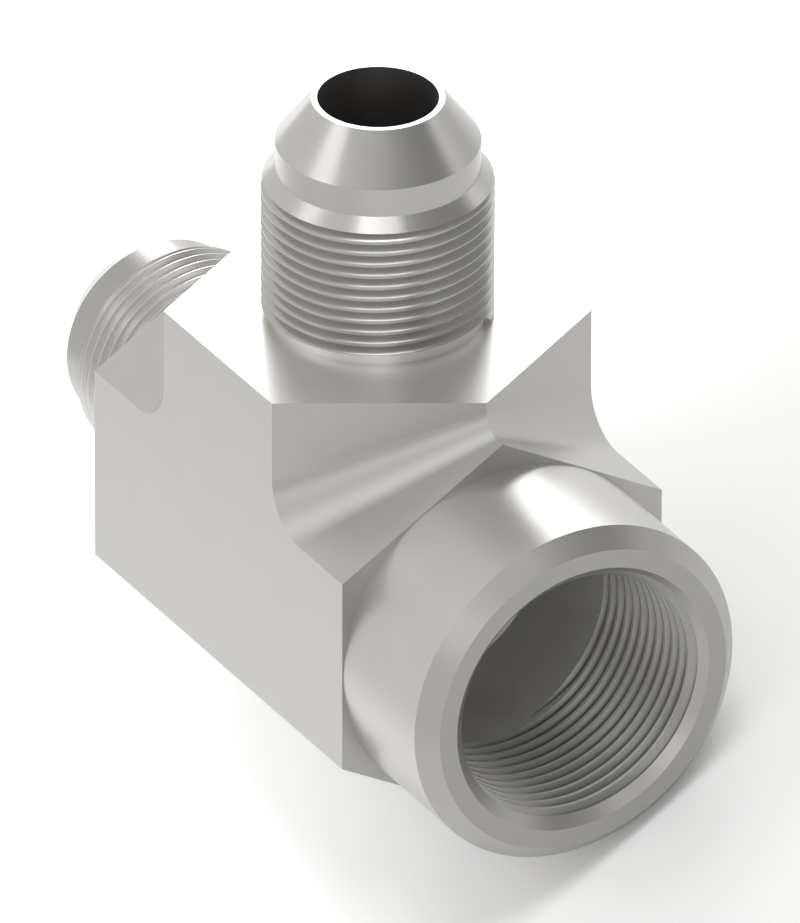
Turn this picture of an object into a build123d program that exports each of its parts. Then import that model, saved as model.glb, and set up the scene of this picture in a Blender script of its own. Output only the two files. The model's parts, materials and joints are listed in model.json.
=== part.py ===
from build123d import *
from math import radians, sqrt, tan
import os

# Flare tee fitting, machined from one forging: a run with a pipe-threaded port on one end and a 37 degree
# flare end on the other, and a second flare end on the branch. All lengths are in millimetres.
# It is modelled about the point where its axes cross, with the run along X and the branch along +Z, and is
# then turned about the run to lie on a lower flat of the run's hexagon, as it comes to rest on a bench.

# Hexagon body
across_flats = 30.16        # wrench size of both hexagons, 1 3/16 in
hexagon_reach = 20.0        # crossing of the axes to each hexagon's end face
blend_radius = 4.9          # hollow where the branch's hexagon runs into the run's

# Flare ends, alike on the run and the branch
flare_reach = 40.0          # crossing to the nose
thread_diameter = 19.05     # 3/4 in thread, over its crests
neck_diameter = 17.74       # neck behind the thread, as deep as the thread's roots
neck_length = 1.27          # hexagon to the thread's last crest
thread_reach = 33.6         # crossing to the foot of the bevel that starts the thread
nose_diameter = 16.82       # plain nose between the thread and the cone
cone_angle = 37.0           # the cone's side to its axis
nose_rim = 0.49             # flat ring left round the bore at the nose
flow_bore = 9.94            # passage through both flare ends

# Female port
port_reach = 32.9           # crossing to the port's face
port_relief = 0.16          # the port is turned this much smaller than the size across the flats
port_bevel = 1.5            # outer bevel round the port's face
mouth_diameter = 23.75      # countersink at the face, which narrows at 45 degrees
port_bore = 21.4            # plain bore that the port's thread is cut into
port_depth = 24.3           # face to the end of the plain bore
drill_point = 118.0         # angle of the drill's point, left at the bore's end

# Worked out from the sizes above
half_flats = across_flats / 2
corner_reach = across_flats / sqrt(3)
bore_radius = flow_bore / 2
half_step = 180 / 6         # half the turn from one flat of a hexagon to the next, in degrees


def hexagon_bar(section, reach, turn, both=False):
    """A hexagon bar grown from the crossing along its section's normal, with two of its flats facing Y."""
    outline = RegularPolygon(half_flats, 6, major_radius=False, rotation=turn)
    return extrude(section * outline, reach, both=both)


def half_body():
    """The half of the crossed hexagons towards -Y, with a hollow blend along each of its two inner corners."""
    spare = hexagon_reach + 2 * blend_radius
    run = hexagon_bar(Plane.YZ, spare, half_step, both=True)
    branch = hexagon_bar(Plane.XY, spare, 0)
    half = (run + branch) & Pos(0, -across_flats, 0) * Box(4 * spare, 2 * across_flats, 4 * spare)
    corners = [
        half.edges().sort_by_distance((0.75 * end * corner_reach, -half_flats / 2, 0.75 * corner_reach))[0]
        for end in (-1, 1)
    ]
    return fillet(corners, blend_radius)


def hexagon_body():
    """Both hexagons in one, mirrored about the plane of the axes and faced off square at their three ends."""
    half = half_body()
    depth = hexagon_reach + 2 * corner_reach
    faced = Box(2 * hexagon_reach, 2 * across_flats, depth, align=(Align.CENTER, Align.CENTER, Align.MAX))
    return (half + mirror(half, Plane.XZ)) & Pos(0, 0, hexagon_reach) * faced


def turned(*outline):
    """A solid turned about X, from the (distance along X, radius) points of its outline."""
    first, last = outline[0][0], outline[-1][0]
    section = Polyline((first, 0), *outline, (last, 0), close=True)
    return revolve(make_face(Plane.XZ * section), Axis.X)


def flare_end():
    """A flare end along +X: neck, thread blank, start bevel, plain nose and the cone that the tube seats on."""
    neck, thread, nose = neck_diameter / 2, thread_diameter / 2, nose_diameter / 2
    rim = bore_radius + nose_rim
    last_crest = hexagon_reach + neck_length
    last_flank = (thread - neck) * tan(radians(30))
    cone = (nose - rim) / tan(radians(cone_angle))
    return turned(
        (0, neck),
        (last_crest - last_flank, neck),
        (last_crest, thread),
        (thread_reach - (thread - nose), thread),
        (thread_reach, nose),
        (flare_reach - cone, nose),
        (flare_reach, rim),
    )


def port_boss():
    """The round boss of the female port, turned just under the size across the flats and bevelled."""
    radius = half_flats - port_relief / 2
    return turned(
        (hexagon_reach, radius),
        (port_reach - port_bevel, radius),
        (port_reach, radius - port_bevel),
    )


def run_passage():
    """What is bored out along the run: the flow bore, the drill's point, the port's bore and its mouth."""
    bore, mouth = port_bore / 2, mouth_diameter / 2
    bore_end = port_reach - port_depth
    point = (bore - bore_radius) / tan(radians(drill_point / 2))
    return turned(
        (-flare_reach, bore_radius),
        (bore_end - point, bore_radius),
        (bore_end, bore),
        (port_reach - (mouth - bore), bore),
        (port_reach, mouth),
    )


def branch_passage():
    """The flow bore down the branch, as far as the run's axis."""
    return Cylinder(bore_radius, flare_reach, align=(Align.CENTER, Align.CENTER, Align.MIN))


def tee():
    """The whole fitting about the crossing of its axes, with the branch along +Z."""
    run_flare = Rot(Z=180) * flare_end()
    branch_flare = Rot(Y=-90) * flare_end()
    solid = hexagon_body() + run_flare + branch_flare + port_boss()
    return solid - run_passage() - branch_passage()


# The flat that it lies on comes down level at Z = 0, and the branch leans away towards +Y.
lying = Pos(0, 0, half_flats) * Rot(X=-half_step) * tee()
lying.label = "tee_body"

os.makedirs("parts", exist_ok=True)
export_step(lying, "parts/tee_body.step")
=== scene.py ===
import json
from math import acos, cos, pi, radians, sin, tan

import bmesh
import bpy
from mathutils import Matrix, Vector


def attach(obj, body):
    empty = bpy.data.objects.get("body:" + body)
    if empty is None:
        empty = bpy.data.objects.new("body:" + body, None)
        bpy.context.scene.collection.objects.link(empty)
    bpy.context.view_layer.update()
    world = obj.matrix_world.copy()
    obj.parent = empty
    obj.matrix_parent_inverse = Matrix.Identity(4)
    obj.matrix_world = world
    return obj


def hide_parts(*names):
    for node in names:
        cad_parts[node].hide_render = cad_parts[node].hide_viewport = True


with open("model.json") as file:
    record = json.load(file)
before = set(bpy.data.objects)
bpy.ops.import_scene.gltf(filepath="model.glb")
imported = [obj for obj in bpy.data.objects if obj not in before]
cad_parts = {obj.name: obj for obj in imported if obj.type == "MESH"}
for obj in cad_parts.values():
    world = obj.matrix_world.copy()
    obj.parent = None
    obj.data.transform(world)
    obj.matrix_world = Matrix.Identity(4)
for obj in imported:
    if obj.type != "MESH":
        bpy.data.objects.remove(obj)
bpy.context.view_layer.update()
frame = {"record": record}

# Camera
# The fitting is seen from above its female port, at the photograph's angle, through a lens so long that
# parallel edges stay parallel.
view_towards = Vector((0.7434, -0.129, 0.6564)).normalized()
rightwards = Vector((0.5082, 0.747, -0.4287))
view_up = view_towards.cross(rightwards).normalized()
view_right = view_up.cross(view_towards)
aim = Vector((-0.00121, 0.00463, 0.01736))
frame_height = 0.07543
lens = 1400
sensor = 36
camera_distance = frame_height * lens / sensor

camera_data = bpy.data.cameras.new("camera")
camera_data.lens = lens
camera_data.sensor_width = sensor
camera_data.clip_end = 20
camera = bpy.data.objects.new("camera", camera_data)
bpy.context.scene.collection.objects.link(camera)
turn = Matrix((view_right, view_up, view_towards)).transposed().to_4x4()
camera.matrix_world = Matrix.Translation(aim + view_towards * camera_distance) @ turn
bpy.context.scene.camera = camera

# Bench and light
# The fitting lies on a pale painted bench top in a plain pale room. On the side that the branch leans to, the
# room's light is dimmer and the bench top's colour is darker, which is painted shade. A soft box behind the
# run, one overhead and two weaker ones light it.
bench_size = 6
# Painted light: where and how strongly a pool of white glow lies on the bench top.
glow_middle = (-0.07, -0.035, 0)
glow_inner_reach = 0.05
glow_outer_reach = 0.12
glow_strength = 0.42
room_tint = (1, 0.99, 0.975, 1)
room_bright_side = (-0.55, -0.75, 0.35)
room_brightest = 0.98
room_darkest = 0.24
lamp_distance = 1.6

bpy.ops.mesh.primitive_plane_add(size=bench_size, location=(0, 0, 0))
bench = bpy.context.object
bench.name = "bench"

bench_painted_light_and_shade = bpy.data.materials.new("pale_bench_painted_light_and_shade")
bench_painted_light_and_shade.use_nodes = True
nodes, links = bench_painted_light_and_shade.node_tree.nodes, bench_painted_light_and_shade.node_tree.links
nodes.clear()
output = nodes.new("ShaderNodeOutputMaterial")
matt = nodes.new("ShaderNodeBsdfDiffuse")
place = nodes.new("ShaderNodeTexCoord")


def across_bench(direction, from_place, to_place, from_value, to_value):
    """A value that changes smoothly along one direction of the bench top."""
    distance = nodes.new("ShaderNodeVectorMath")
    distance.operation = "DOT_PRODUCT"
    distance.inputs[1].default_value = Vector(direction).normalized()
    links.new(place.outputs["Object"], distance.inputs[0])
    change = nodes.new("ShaderNodeMapRange")
    change.interpolation_type = "SMOOTHSTEP"
    change.inputs["From Min"].default_value = from_place
    change.inputs["From Max"].default_value = to_place
    change.inputs["To Min"].default_value = from_value
    change.inputs["To Max"].default_value = to_value
    links.new(distance.outputs["Value"], change.inputs["Value"])
    return change


# Painted shade: the bench top's colour darkens from 0.83 to 0.55 towards the side that the branch leans to.
shade = across_bench(
    direction=(0.55, 0.75, 0), from_place=0.04, to_place=0.11, from_value=0.83, to_value=0.55
)
links.new(shade.outputs[0], matt.inputs["Color"])

# Painted light: what the camera and the reflections see of the bench top glows white, in a pool beside the
# run's end and in a band behind it.
backlight = across_bench(
    direction=(-0.75, 0.66, 0), from_place=0.08, to_place=0.22, from_value=0, to_value=0.7
)
from_middle = nodes.new("ShaderNodeVectorMath")
from_middle.operation = "DISTANCE"
from_middle.inputs[1].default_value = glow_middle
links.new(place.outputs["Object"], from_middle.inputs[0])
painted_light_pool = nodes.new("ShaderNodeMapRange")
painted_light_pool.interpolation_type = "SMOOTHSTEP"
painted_light_pool.inputs["From Min"].default_value = glow_inner_reach
painted_light_pool.inputs["From Max"].default_value = glow_outer_reach
painted_light_pool.inputs["To Min"].default_value = glow_strength
painted_light_pool.inputs["To Max"].default_value = 0
links.new(from_middle.outputs["Value"], painted_light_pool.inputs["Value"])
glow = nodes.new("ShaderNodeMath")
links.new(painted_light_pool.outputs[0], glow.inputs[0])
links.new(backlight.outputs[0], glow.inputs[1])
light_path = nodes.new("ShaderNodeLightPath")
seen = light_path.outputs["Is Camera Ray"]
for ray in ("Is Glossy Ray", "Is Transmission Ray"):
    either = nodes.new("ShaderNodeMath")
    either.use_clamp = True
    links.new(seen, either.inputs[0])
    links.new(light_path.outputs[ray], either.inputs[1])
    seen = either.outputs[0]
lift = nodes.new("ShaderNodeMath")
lift.operation = "MULTIPLY"
links.new(seen, lift.inputs[0])
links.new(glow.outputs[0], lift.inputs[1])
painted_glow_emission = nodes.new("ShaderNodeEmission")
painted_glow_emission.inputs["Color"].default_value = (1, 1, 1, 1)
links.new(lift.outputs[0], painted_glow_emission.inputs["Strength"])
both = nodes.new("ShaderNodeAddShader")
links.new(matt.outputs[0], both.inputs[0])
links.new(painted_glow_emission.outputs[0], both.inputs[1])
links.new(both.outputs[0], output.inputs["Surface"])
bench.data.materials.append(bench_painted_light_and_shade)

room = bpy.data.worlds.new("room")
bpy.context.scene.world = room
room.use_nodes = True
nodes, links = room.node_tree.nodes, room.node_tree.links
background = nodes["Background"]
background.inputs["Color"].default_value = room_tint
around = nodes.new("ShaderNodeTexCoord")
lean = nodes.new("ShaderNodeVectorMath")
lean.operation = "DOT_PRODUCT"
lean.inputs[1].default_value = Vector(room_bright_side).normalized()
links.new(around.outputs["Generated"], lean.inputs[0])
fade = nodes.new("ShaderNodeMapRange")
fade.interpolation_type = "SMOOTHSTEP"
fade.inputs["From Min"].default_value = -1
fade.inputs["From Max"].default_value = 1
fade.inputs["To Min"].default_value = room_darkest
fade.inputs["To Max"].default_value = room_brightest
links.new(lean.outputs["Value"], fade.inputs["Value"])
links.new(fade.outputs[0], background.inputs["Strength"])


def soft_box(name, towards, width, height, radiance):
    """A rectangular soft box facing the fitting, given by the radiance of its front."""
    lamp = bpy.data.lights.new(name, "AREA")
    lamp.shape = "RECTANGLE"
    lamp.size = width
    lamp.size_y = height
    lamp.energy = radiance * pi * width * height
    holder = bpy.data.objects.new(name, lamp)
    bpy.context.scene.collection.objects.link(holder)
    holder.location = Vector(towards).normalized() * lamp_distance
    holder.rotation_euler = holder.location.to_track_quat("Z", "Y").to_euler()


soft_box("back_soft_box", towards=(-0.75, 0.60, 0.26), width=0.95, height=0.6, radiance=4.5)
soft_box("overhead_lamp", towards=(0.2, 0.38, 0.9), width=0.78, height=0.78, radiance=5.4)
soft_box("side_strip", towards=(-0.2, -0.35, 0.92), width=0.9, height=0.5, radiance=1.2)
soft_box("front_fill", towards=(0.8, -0.2, 0.5), width=0.8, height=0.6, radiance=1.6)

# Hexagon body
# The forging's middle: two steel hexagon bars of one size that cross, with a milled hollow blend in each
# inner corner, faced off square at their three ends. It is modelled with the run along X and the branch
# straight up, and turned on to its flat when it is finished.
mounts = {mount["name"]: mount for mount in frame["record"]["mounts"]}
half_flats = mounts["run_end"]["pos_m"][2]
side_angle = radians(60)
branch_lean = side_angle / 2
corner_reach = half_flats / cos(side_angle / 2)
hexagon_reach = 0.020
blend_radius = 0.0049
apex_radius = 0.0021
blend_steps = 20
run_axis = (1, 0, 0)
branch_axis = (0, sin(branch_lean), cos(branch_lean))

# How far the steel's tone and roughness vary, how many lumps, grains and cutter marks go to the metre, how many
# times as long as wide a milled mark is, and how deep and strong the marks are.
tone_spread = 0.04
gloss_spread = 0.025
mottle_lumps = 240
grain_lumps = 9000
milled_lines = 6000
milled_length = 30
turned_lines = 9000
mark_depth = 0.00001
mark_strength = 0.06


def steel(name, tone, roughness, axis=None, dullness=0.2):
    """Bare steel of one tone, with a broad mottle, a fine grain and the marks of its cutter.

    The marks run along the run where the steel is milled, and round the given axis where it is turned.
    """
    finish = bpy.data.materials.new(name)
    finish.use_nodes = True
    nodes, links = finish.node_tree.nodes, finish.node_tree.links
    shader = nodes["Principled BSDF"]
    shader.inputs["Metallic"].default_value = 1 - dullness
    place = nodes.new("ShaderNodeTexCoord")
    centred = nodes.new("ShaderNodeMapping")
    links.new(place.outputs["Object"], centred.inputs["Vector"])
    lines = nodes.new("ShaderNodeTexNoise")
    lines.inputs["Detail"].default_value = 3
    if axis:
        facing = Vector(axis).rotation_difference(Vector(run_axis))
        centred.inputs["Rotation"].default_value = facing.to_euler()
        centred.inputs["Location"].default_value = facing @ Vector((0, 0, -half_flats))
        along = nodes.new("ShaderNodeSeparateXYZ")
        across = nodes.new("ShaderNodeVectorMath")
        across.operation = "MULTIPLY"
        across.inputs[1].default_value = (0, 1, 1)
        radius = nodes.new("ShaderNodeVectorMath")
        radius.operation = "LENGTH"
        feed = nodes.new("ShaderNodeMath")
        links.new(centred.outputs["Vector"], along.inputs["Vector"])
        links.new(centred.outputs["Vector"], across.inputs[0])
        links.new(across.outputs["Vector"], radius.inputs[0])
        links.new(along.outputs["X"], feed.inputs[0])
        links.new(radius.outputs["Value"], feed.inputs[1])
        lines.noise_dimensions = "1D"
        lines.inputs["Scale"].default_value = turned_lines
        links.new(feed.outputs[0], lines.inputs["W"])
    else:
        centred.inputs["Scale"].default_value = (milled_lines / milled_length, milled_lines, milled_lines)
        lines.inputs["Scale"].default_value = 1
        links.new(centred.outputs["Vector"], lines.inputs["Vector"])
    mottle = nodes.new("ShaderNodeTexNoise")
    mottle.inputs["Scale"].default_value = mottle_lumps
    mottle.inputs["Detail"].default_value = 4
    links.new(place.outputs["Object"], mottle.inputs["Vector"])
    grain = nodes.new("ShaderNodeTexNoise")
    grain.inputs["Scale"].default_value = grain_lumps
    links.new(place.outputs["Object"], grain.inputs["Vector"])
    tint = nodes.new("ShaderNodeMix")
    tint.data_type = "RGBA"
    tint.inputs["A"].default_value = (*[(1 - tone_spread) * part for part in tone], 1)
    tint.inputs["B"].default_value = (*[(1 + tone_spread) * part for part in tone], 1)
    links.new(mottle.outputs["Fac"], tint.inputs["Factor"])
    links.new(tint.outputs["Result"], shader.inputs["Base Color"])
    height = nodes.new("ShaderNodeMath")
    links.new(lines.outputs["Fac"], height.inputs[0])
    links.new(grain.outputs["Fac"], height.inputs[1])
    bump = nodes.new("ShaderNodeBump")
    bump.inputs["Strength"].default_value = mark_strength
    bump.inputs["Distance"].default_value = mark_depth
    links.new(height.outputs[0], bump.inputs["Height"])
    links.new(bump.outputs["Normal"], shader.inputs["Normal"])
    uneven = nodes.new("ShaderNodeMath")
    links.new(mottle.outputs["Fac"], uneven.inputs[0])
    links.new(lines.outputs["Fac"], uneven.inputs[1])
    gloss = nodes.new("ShaderNodeMapRange")
    gloss.inputs["From Min"].default_value = 0.5
    gloss.inputs["From Max"].default_value = 1.5
    gloss.inputs["To Min"].default_value = roughness - gloss_spread
    gloss.inputs["To Max"].default_value = roughness + gloss_spread
    links.new(uneven.outputs[0], gloss.inputs["Value"])
    links.new(gloss.outputs[0], shader.inputs["Roughness"])
    return finish


milled_steel = steel("milled_steel", (0.475, 0.468, 0.455), roughness=0.36)
# The faced steel is given a much brighter tone than the milled steel, which is painted light.
faced_steel_painted_light = steel("faced_steel_painted_light", (0.72, 0.71, 0.69), roughness=0.34, axis=branch_axis)

# Two places, or two directions, count as the same within these limits.
same_place = 1e-6
same_direction = 0.999


def looks_along(face, direction):
    """True for a face whose outward side looks along a direction."""
    return face.normal.dot(Vector(direction)) > same_direction


def on_middle_plane(element):
    """True for a vertex, edge or face that lies in the plane of the two axes."""
    return all(abs(vert.co.y) < same_place for vert in getattr(element, "verts", [element]))


def faces_along(edge, directions):
    """True for an edge between two faces that look along the two given directions."""
    return len(edge.link_faces) == 2 and all(
        any(looks_along(face, direction) for face in edge.link_faces) for direction in directions
    )


def edit(piece, kind, chosen):
    """Opens a piece in edit mode and selects the vertices, edges or faces that a test picks."""
    bpy.ops.object.select_all(action="DESELECT")
    piece.select_set(True)
    bpy.context.view_layer.objects.active = piece
    bpy.ops.object.mode_set(mode="EDIT")
    bpy.ops.mesh.select_mode(type=kind)
    bpy.ops.mesh.select_all(action="DESELECT")
    mesh = bmesh.from_edit_mesh(piece.data)
    for element in {"VERT": mesh.verts, "EDGE": mesh.edges, "FACE": mesh.faces}[kind]:
        if chosen(element):
            element.select_set(True)
    bmesh.update_edit_mesh(piece.data)


def combine(piece, tool, operation):
    """Joins a second solid to a piece, cuts it out or keeps what they share, and removes the second solid."""
    bpy.ops.object.select_all(action="DESELECT")
    bpy.context.view_layer.objects.active = piece
    piece.select_set(True)
    boolean = piece.modifiers.new(operation.lower(), "BOOLEAN")
    boolean.operation = operation
    boolean.solver = "EXACT"
    boolean.material_mode = "TRANSFER"
    boolean.object = tool
    bpy.ops.object.modifier_apply(modifier=boolean.name)
    bpy.data.objects.remove(tool)


# Half of the run's bar, towards -Y, between its side flat and the plane of the two axes.
spare = hexagon_reach + 2 * blend_radius
bpy.ops.object.select_all(action="DESELECT")
bpy.ops.mesh.primitive_cylinder_add(
    vertices=6, radius=corner_reach, depth=2 * spare, rotation=(pi / 2, 0, pi / 2)
)
tee = bpy.context.object
tee.name = "tee_fitting"
tee.data.materials.append(milled_steel)
bpy.ops.object.transform_apply(location=True, rotation=True, scale=False)
edit(tee, "VERT", lambda vert: vert.co.y > half_flats / 2)
bpy.ops.mesh.delete(type="VERT")
bpy.ops.object.mode_set(mode="OBJECT")
edit(tee, "VERT", on_middle_plane)
bpy.ops.mesh.edge_face_add()
bpy.ops.mesh.select_all(action="SELECT")
bpy.ops.mesh.fill_holes(sides=0)
bpy.ops.mesh.normals_make_consistent(inside=False)
bpy.ops.object.mode_set(mode="OBJECT")

# The branch's half bar rises from the run's upper slanted flat, between the planes of its own slanted flats.
run_slant = Vector((0, -cos(side_angle), sin(side_angle)))
branch_slants = [Vector((side * sin(side_angle), -cos(side_angle), 0)) for side in (-1, 1)]
cut_threshold = 1e-7
middle_reach = 1e-4
for slant in branch_slants:
    edit(tee, "FACE", lambda face: looks_along(face, run_slant))
    bpy.ops.mesh.bisect(plane_co=slant * half_flats, plane_no=slant, threshold=cut_threshold)
    bpy.ops.object.mode_set(mode="OBJECT")
edit(
    tee,
    "FACE",
    lambda face: looks_along(face, run_slant) and abs(face.calc_center_median().x) < middle_reach,
)
bpy.ops.mesh.extrude_region_move(TRANSFORM_OT_translate={"value": (0, 0, spare)})
bpy.ops.transform.resize(value=(1, 1, 0), center_override=(0, 0, spare))
bpy.ops.mesh.select_all(action="SELECT")
bpy.ops.mesh.dissolve_limited(angle_limit=radians(0.5))
bpy.ops.mesh.normals_make_consistent(inside=False)
bpy.ops.object.mode_set(mode="OBJECT")

# Each straight inner corner takes its blend while the half body is still plain.
edit(tee, "EDGE", lambda edge: any(faces_along(edge, (run_slant, slant)) for slant in branch_slants))
corner_turn = acos(run_slant.dot(branch_slants[0]))
bpy.ops.mesh.bevel(
    offset_type="OFFSET", offset=blend_radius * tan(corner_turn / 2), segments=blend_steps, profile=0.5
)
bpy.ops.object.mode_set(mode="OBJECT")

# Towards the plane of the two axes the blend narrows, so that it ends inside the faced ends.
narrowing = apex_radius / blend_radius
for side in (-1, 1):
    corner = Vector((side * corner_reach, 0, corner_reach))
    edit(
        tee,
        "VERT",
        lambda vert: on_middle_plane(vert)
        and -same_place < (vert.co.x - corner.x) * side < blend_radius
        and -same_place < vert.co.z - corner.z < blend_radius,
    )
    bpy.ops.transform.resize(value=(narrowing, 1, narrowing), center_override=corner)
    bpy.ops.object.mode_set(mode="OBJECT")

# The other half is its mirror image, and one block faces off the three ends.
edit(tee, "FACE", on_middle_plane)
bpy.ops.mesh.delete(type="FACE")
bpy.ops.object.mode_set(mode="OBJECT")
mirror = tee.modifiers.new("other_half", "MIRROR")
mirror.use_axis = (False, True, False)
mirror.merge_threshold = same_place
bpy.ops.object.modifier_apply(modifier=mirror.name)

block_foot = 2 * corner_reach
block_width = 3 * corner_reach
bpy.ops.object.select_all(action="DESELECT")
bpy.ops.mesh.primitive_cube_add(
    size=1,
    location=(0, 0, (hexagon_reach - block_foot) / 2),
    scale=(2 * hexagon_reach, block_width, hexagon_reach + block_foot),
)
faced_block = bpy.context.object
faced_block.data.materials.append(milled_steel)
combine(tee, faced_block, "INTERSECT")

# Flare ends
# One turned end of the run and one of the branch, cut on the same forging: a plain neck, a right-hand thread
# for the flare nut, a start bevel, a plain nose, and the 37 degree cone that the flared tube is drawn against.
round_steps = 192
flare_reach = 0.040
root_start = 0.012
neck_radius = 0.00887
thread_radius = mounts["run_end"]["dims"]["r_mm"] / 1000
thread_reach = 0.0336
nose_radius = 0.00841
nose_rim = 0.00049
bore_radius = mounts["run_bore"]["dims"]["r_mm"] / 1000
cone_angle = radians(37)
inch = 0.0254
thread_pitch = inch / 24
thread_flank = radians(30)
crest_flat = 0.00008
first_turn = 0.020442
first_turn_at = radians(-45)
bevel_ring = 0.03257
run_thread_turn = radians(150)
same_radius = 0.00002

turned_steel = steel("turned_steel", (0.47, 0.462, 0.45), roughness=0.23, axis=branch_axis)
# The run's thread and neck are given brighter tones, which is painted light, and its nose and cone a darker
# one, which is painted shade.
run_thread_steel_painted_light = steel("run_thread_steel_painted_light", (0.6, 0.59, 0.573), roughness=0.26, axis=run_axis)
faced_run_steel_painted_light = steel("faced_run_steel_painted_light", (0.72, 0.71, 0.69), roughness=0.34, axis=run_axis)
turned_run_steel_painted_shade = steel("turned_run_steel_painted_shade", (0.37, 0.363, 0.353), roughness=0.26, axis=run_axis)


def turned_solid(name, outline, finish):
    """A solid turned about X from an outline of (place along X, radius) points, closed by flat ends."""
    bpy.ops.object.select_all(action="DESELECT")
    start, radius = outline[0]
    bpy.ops.mesh.primitive_circle_add(
        vertices=round_steps,
        radius=radius,
        fill_type="NGON",
        location=(start, 0, 0),
        rotation=(0, pi / 2, 0),
    )
    solid = bpy.context.object
    solid.name = name
    solid.data.materials.append(finish)
    bpy.ops.object.transform_apply(location=True, rotation=True, scale=False)
    bpy.ops.object.mode_set(mode="EDIT")
    bpy.ops.mesh.select_all(action="SELECT")
    for (before, old_radius), (place, new_radius) in zip(outline, outline[1:]):
        bpy.ops.mesh.extrude_region_move(TRANSFORM_OT_translate={"value": (place - before, 0, 0)})
        swell = new_radius / old_radius
        bpy.ops.transform.resize(value=(1, swell, swell), center_override=(place, 0, 0))
    bpy.ops.mesh.select_all(action="SELECT")
    bpy.ops.mesh.normals_make_consistent(inside=False)
    bpy.ops.object.mode_set(mode="OBJECT")
    return solid


def coil(name, profile, start, start_angle, pitch, turns, finish):
    """A right-hand helical bar about X: a profile of (offset along X, radius) points, and its flat ends."""
    bpy.ops.object.select_all(action="DESELECT")
    bpy.ops.mesh.primitive_circle_add(vertices=len(profile), radius=1, fill_type="NOTHING")
    bar = bpy.context.object
    bar.name = name
    bar.data.materials.append(finish)
    for vert, (offset, radius) in zip(bar.data.vertices, profile):
        vert.co = (start + offset, radius * cos(start_angle), radius * sin(start_angle))
    winding = bar.modifiers.new("winding", "SCREW")
    winding.axis = "X"
    winding.angle = 2 * pi * turns
    winding.screw_offset = pitch * turns
    winding.steps = winding.render_steps = round(round_steps * turns)
    winding.use_smooth_shade = False
    bpy.ops.object.modifier_apply(modifier=winding.name)
    bpy.ops.object.mode_set(mode="EDIT")
    bpy.ops.mesh.select_all(action="SELECT")
    bpy.ops.mesh.fill_holes(sides=0)
    bpy.ops.mesh.normals_make_consistent(inside=False)
    bpy.ops.object.mode_set(mode="OBJECT")
    return bar


def turn_about(piece, angle, axis):
    """Turns a piece about an axis of the frame and puts the turn into its mesh."""
    bpy.ops.object.select_all(action="DESELECT")
    bpy.context.view_layer.objects.active = piece
    piece.select_set(True)
    piece.matrix_world = Matrix.Rotation(angle, 4, axis) @ piece.matrix_world
    bpy.ops.object.transform_apply(location=True, rotation=True, scale=True)


start_bevel = thread_reach - (thread_radius - nose_radius)
ring_radius = thread_radius - (bevel_ring - start_bevel)
nose_tip_radius = bore_radius + nose_rim
cone_foot = flare_reach - (nose_radius - nose_tip_radius) / tan(cone_angle)
flare_end = turned_solid(
    "flare_end",
    [
        (root_start, neck_radius),
        (bevel_ring - (ring_radius - neck_radius) * tan(thread_flank), neck_radius),
        (bevel_ring, ring_radius),
        (thread_reach, nose_radius),
        (cone_foot, nose_radius),
        (flare_reach, nose_tip_radius),
    ],
    turned_steel,
)

# The thread's ridge is wound round the neck, with its foot sunk in it, and trimmed by an envelope that stands
# clear of the crests and follows the start bevel just inside its surface.
foot_sink = 0.00003
hidden_depth = 0.0003
envelope_clearance = 0.0002
bevel_clearance = 0.000005
foot_radius = neck_radius - foot_sink
foot_half = crest_flat / 2 + (thread_radius - foot_radius) * tan(thread_flank)
hidden_radius = neck_radius - hidden_depth
ridge = coil(
    "thread_ridge",
    [
        (-foot_half, hidden_radius),
        (-foot_half, foot_radius),
        (-crest_flat / 2, thread_radius),
        (crest_flat / 2, thread_radius),
        (foot_half, foot_radius),
        (foot_half, hidden_radius),
    ],
    first_turn,
    first_turn_at,
    thread_pitch,
    (bevel_ring + foot_half - first_turn) / thread_pitch,
    turned_steel,
)
envelope = turned_solid(
    "thread_envelope",
    [
        (first_turn - 2 * foot_half, thread_radius + envelope_clearance),
        (start_bevel - envelope_clearance - bevel_clearance, thread_radius + envelope_clearance),
        (thread_reach - bevel_clearance, nose_radius),
    ],
    turned_steel,
)
combine(ridge, envelope, "INTERSECT")
combine(flare_end, ridge, "UNION")

# The necks take a faced tone brighter than the threads', which is painted light, as is the run thread's own
# brighter tone; the run's nose and cone are darker, which is painted shade.
neck_slot = 1
nose_slot = 2
flare_end.data.materials.append(faced_steel_painted_light)
for face in flare_end.data.polygons:
    if face.center.x < first_turn and abs(face.center.yz.length - neck_radius) < same_radius:
        face.material_index = neck_slot
run_flare = flare_end.copy()
run_flare.data = flare_end.data.copy()
run_flare.name = "run_flare_end"
run_flare.data.materials[0] = run_thread_steel_painted_light
run_flare.data.materials[neck_slot] = faced_run_steel_painted_light
run_flare.data.materials.append(turned_run_steel_painted_shade)
for face in run_flare.data.polygons:
    if face.center.x > thread_reach:
        face.material_index = nose_slot
bpy.context.scene.collection.objects.link(run_flare)
turn_about(run_flare, run_thread_turn, "X")
turn_about(run_flare, pi, "Z")
turn_about(flare_end, -pi / 2, "Y")

# Female port
# The run's other end is turned down to a plain round boss with a bevelled rim, and drilled, bored and
# countersunk for a pipe, with a right-hand pipe thread cut outwards from its bore.
port_reach = 0.0329
port_boss_radius = 0.0150
port_bevel = 0.0015
port_bore_radius = mounts["female_port"]["dims"]["r_mm"] / 1000
mouth_radius = 0.011875
countersink_start = port_reach - (mouth_radius - port_bore_radius)
drill_start = 0.005157
drill_end = 0.0086
port_pitch = 0.00122
groove_depth = 0.00071
groove_root = 0.0001
first_groove = 0.01839
first_groove_at = radians(-74.3)
groove_turns = 11.7
groove_fade_turns = 1 / 12

boss_steel = steel("boss_steel", (0.49, 0.482, 0.468), roughness=0.34, axis=run_axis)
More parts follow.
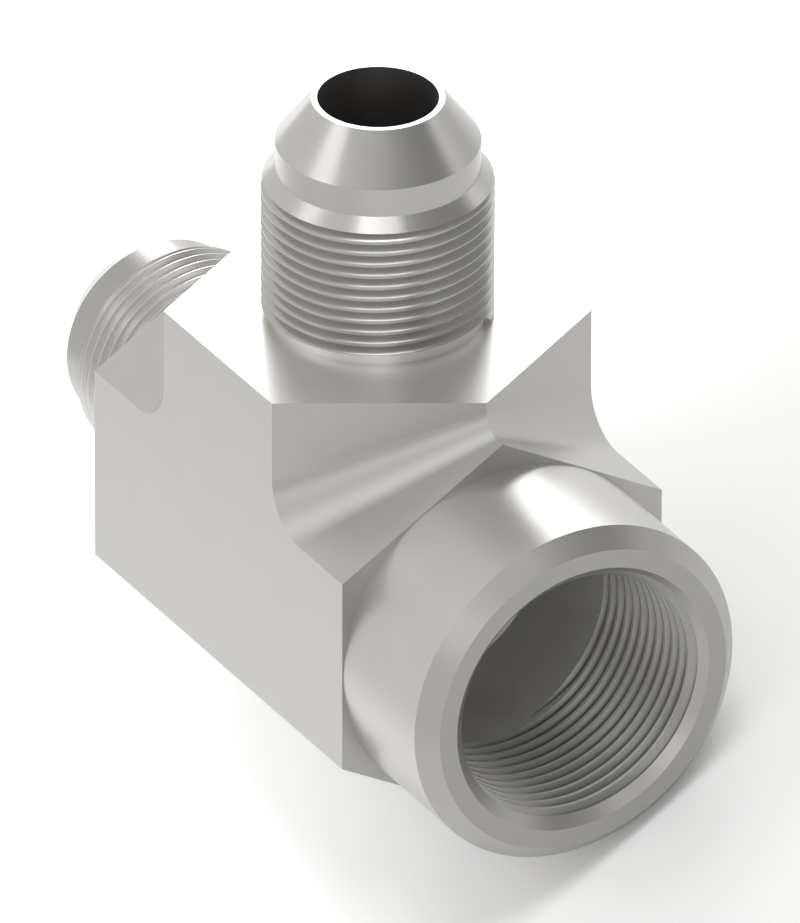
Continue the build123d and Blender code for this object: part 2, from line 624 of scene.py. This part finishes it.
# The port's bevel, countersink, end face and thread take darker tones than its boss, which is painted shade.
port_steel_painted_shade = steel("port_steel_painted_shade", (0.44, 0.432, 0.42), roughness=0.34, axis=run_axis)
port_face_steel_painted_shade = steel("port_face_steel_painted_shade", (0.37, 0.363, 0.353), roughness=0.34, axis=run_axis)
port_thread_steel_painted_shade = steel("port_thread_steel_painted_shade", (0.36, 0.353, 0.344), roughness=0.34, axis=run_axis)
# The bore takes a much brighter and duller tone, which is painted light inside the port.
bored_steel_painted_light = steel("bored_steel_painted_light", (0.84, 0.83, 0.81), roughness=0.3, axis=run_axis, dullness=0.55)
# The drilled passages take a darker tone still, which is painted shade in the deep holes.
drilled_steel_painted_shade = steel("drilled_steel_painted_shade", (0.36, 0.35, 0.34), roughness=0.4, axis=run_axis, dullness=0)

boss = turned_solid(
    "port_boss",
    [
        (root_start, port_boss_radius),
        (port_reach - port_bevel, port_boss_radius),
        (port_reach, port_boss_radius - port_bevel),
    ],
    boss_steel,
)
bevel_slot, end_slot = 1, 2
boss.data.materials.append(port_steel_painted_shade)
boss.data.materials.append(port_face_steel_painted_shade)
for face in boss.data.polygons:
    if face.center.x > port_reach - port_bevel:
        face.material_index = end_slot if looks_along(face, run_axis) else bevel_slot

# Both passages run out past the ends that they open, and the run's widens into the port.
overrun = 0.002
mouth_overrun = 0.001
run_passage = turned_solid(
    "run_passage",
    [
        (-flare_reach - overrun, bore_radius),
        (drill_start, bore_radius),
        (drill_end, port_bore_radius),
        (countersink_start, port_bore_radius),
        (port_reach + mouth_overrun, mouth_radius + mouth_overrun),
    ],
    drilled_steel_painted_shade,
)
bored_slot, countersink_slot = 1, 2
run_passage.data.materials.append(bored_steel_painted_light)
run_passage.data.materials.append(port_steel_painted_shade)
for face in run_passage.data.polygons:
    if face.center.x > drill_end:
        face.material_index = bored_slot if face.center.x < countersink_start else countersink_slot
branch_passage = turned_solid(
    "branch_passage", [(0, bore_radius), (flare_reach + overrun, bore_radius)], drilled_steel_painted_shade
)
turn_about(branch_passage, -pi / 2, "Y")

# The groove's cutter reaches back into the open bore, and sinks into it at both ends, so that the thread
# starts and stops without a step.
lip_depth = 0.00005
back_depth = 0.0004
fade_clearance = 0.0001
groove_radius = port_bore_radius + groove_depth
lip_radius = port_bore_radius - lip_depth
back_radius = port_bore_radius - back_depth
lip_half = groove_root / 2 + (groove_radius - lip_radius) * tan(thread_flank)
groove_profile = [
    (-lip_half, back_radius),
    (-lip_half, lip_radius),
    (-groove_root / 2, groove_radius),
    (groove_root / 2, groove_radius),
    (lip_half, lip_radius),
    (lip_half, back_radius),
]
groove = coil(
    "port_groove",
    groove_profile,
    first_groove,
    first_groove_at,
    port_pitch,
    groove_turns,
    port_thread_steel_painted_shade,
)
last_step = len(groove.data.vertices) // len(groove_profile) - 1
for number, vert in enumerate(groove.data.vertices):
    step = number // len(groove_profile)
    cut = min(1, min(step, last_step - step) / (groove_fade_turns * round_steps))
    radius = vert.co.yz.length
    vert.co.yz *= (radius - (1 - cut) * (groove_depth + fade_clearance)) / radius
for part in (flare_end, run_flare, boss):
    combine(tee, part, "UNION")
for cutter in (run_passage, branch_passage, groove):
    combine(tee, cutter, "DIFFERENCE")

# Finish
# The hexagon's end round the branch takes the necks' bright faced tone, which is painted light. The fitting is
# then turned back on to one of the run's lower flats, and its round faces are shaded smooth up to their edges.
same_height = 0.00001
sharp_angle = radians(30)
for face in tee.data.polygons:
    if looks_along(face, (0, 0, 1)) and abs(face.center.z - hexagon_reach) < same_height:
        face.material_index = tee.data.materials.find(faced_steel_painted_light.name)
turn_about(tee, -branch_lean, "X")
tee.location = (0, 0, half_flats)
bpy.ops.object.transform_apply(location=True, rotation=True, scale=True)
bpy.ops.object.shade_smooth_by_angle(angle=sharp_angle)
flatness = tee.modifiers.new("flat_faces", "WEIGHTED_NORMAL")
flatness.keep_sharp = True
bpy.ops.object.modifier_apply(modifier=flatness.name)

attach(tee, "root")
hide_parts("tee_body")

bpy.context.scene.view_settings.view_transform = "Standard"
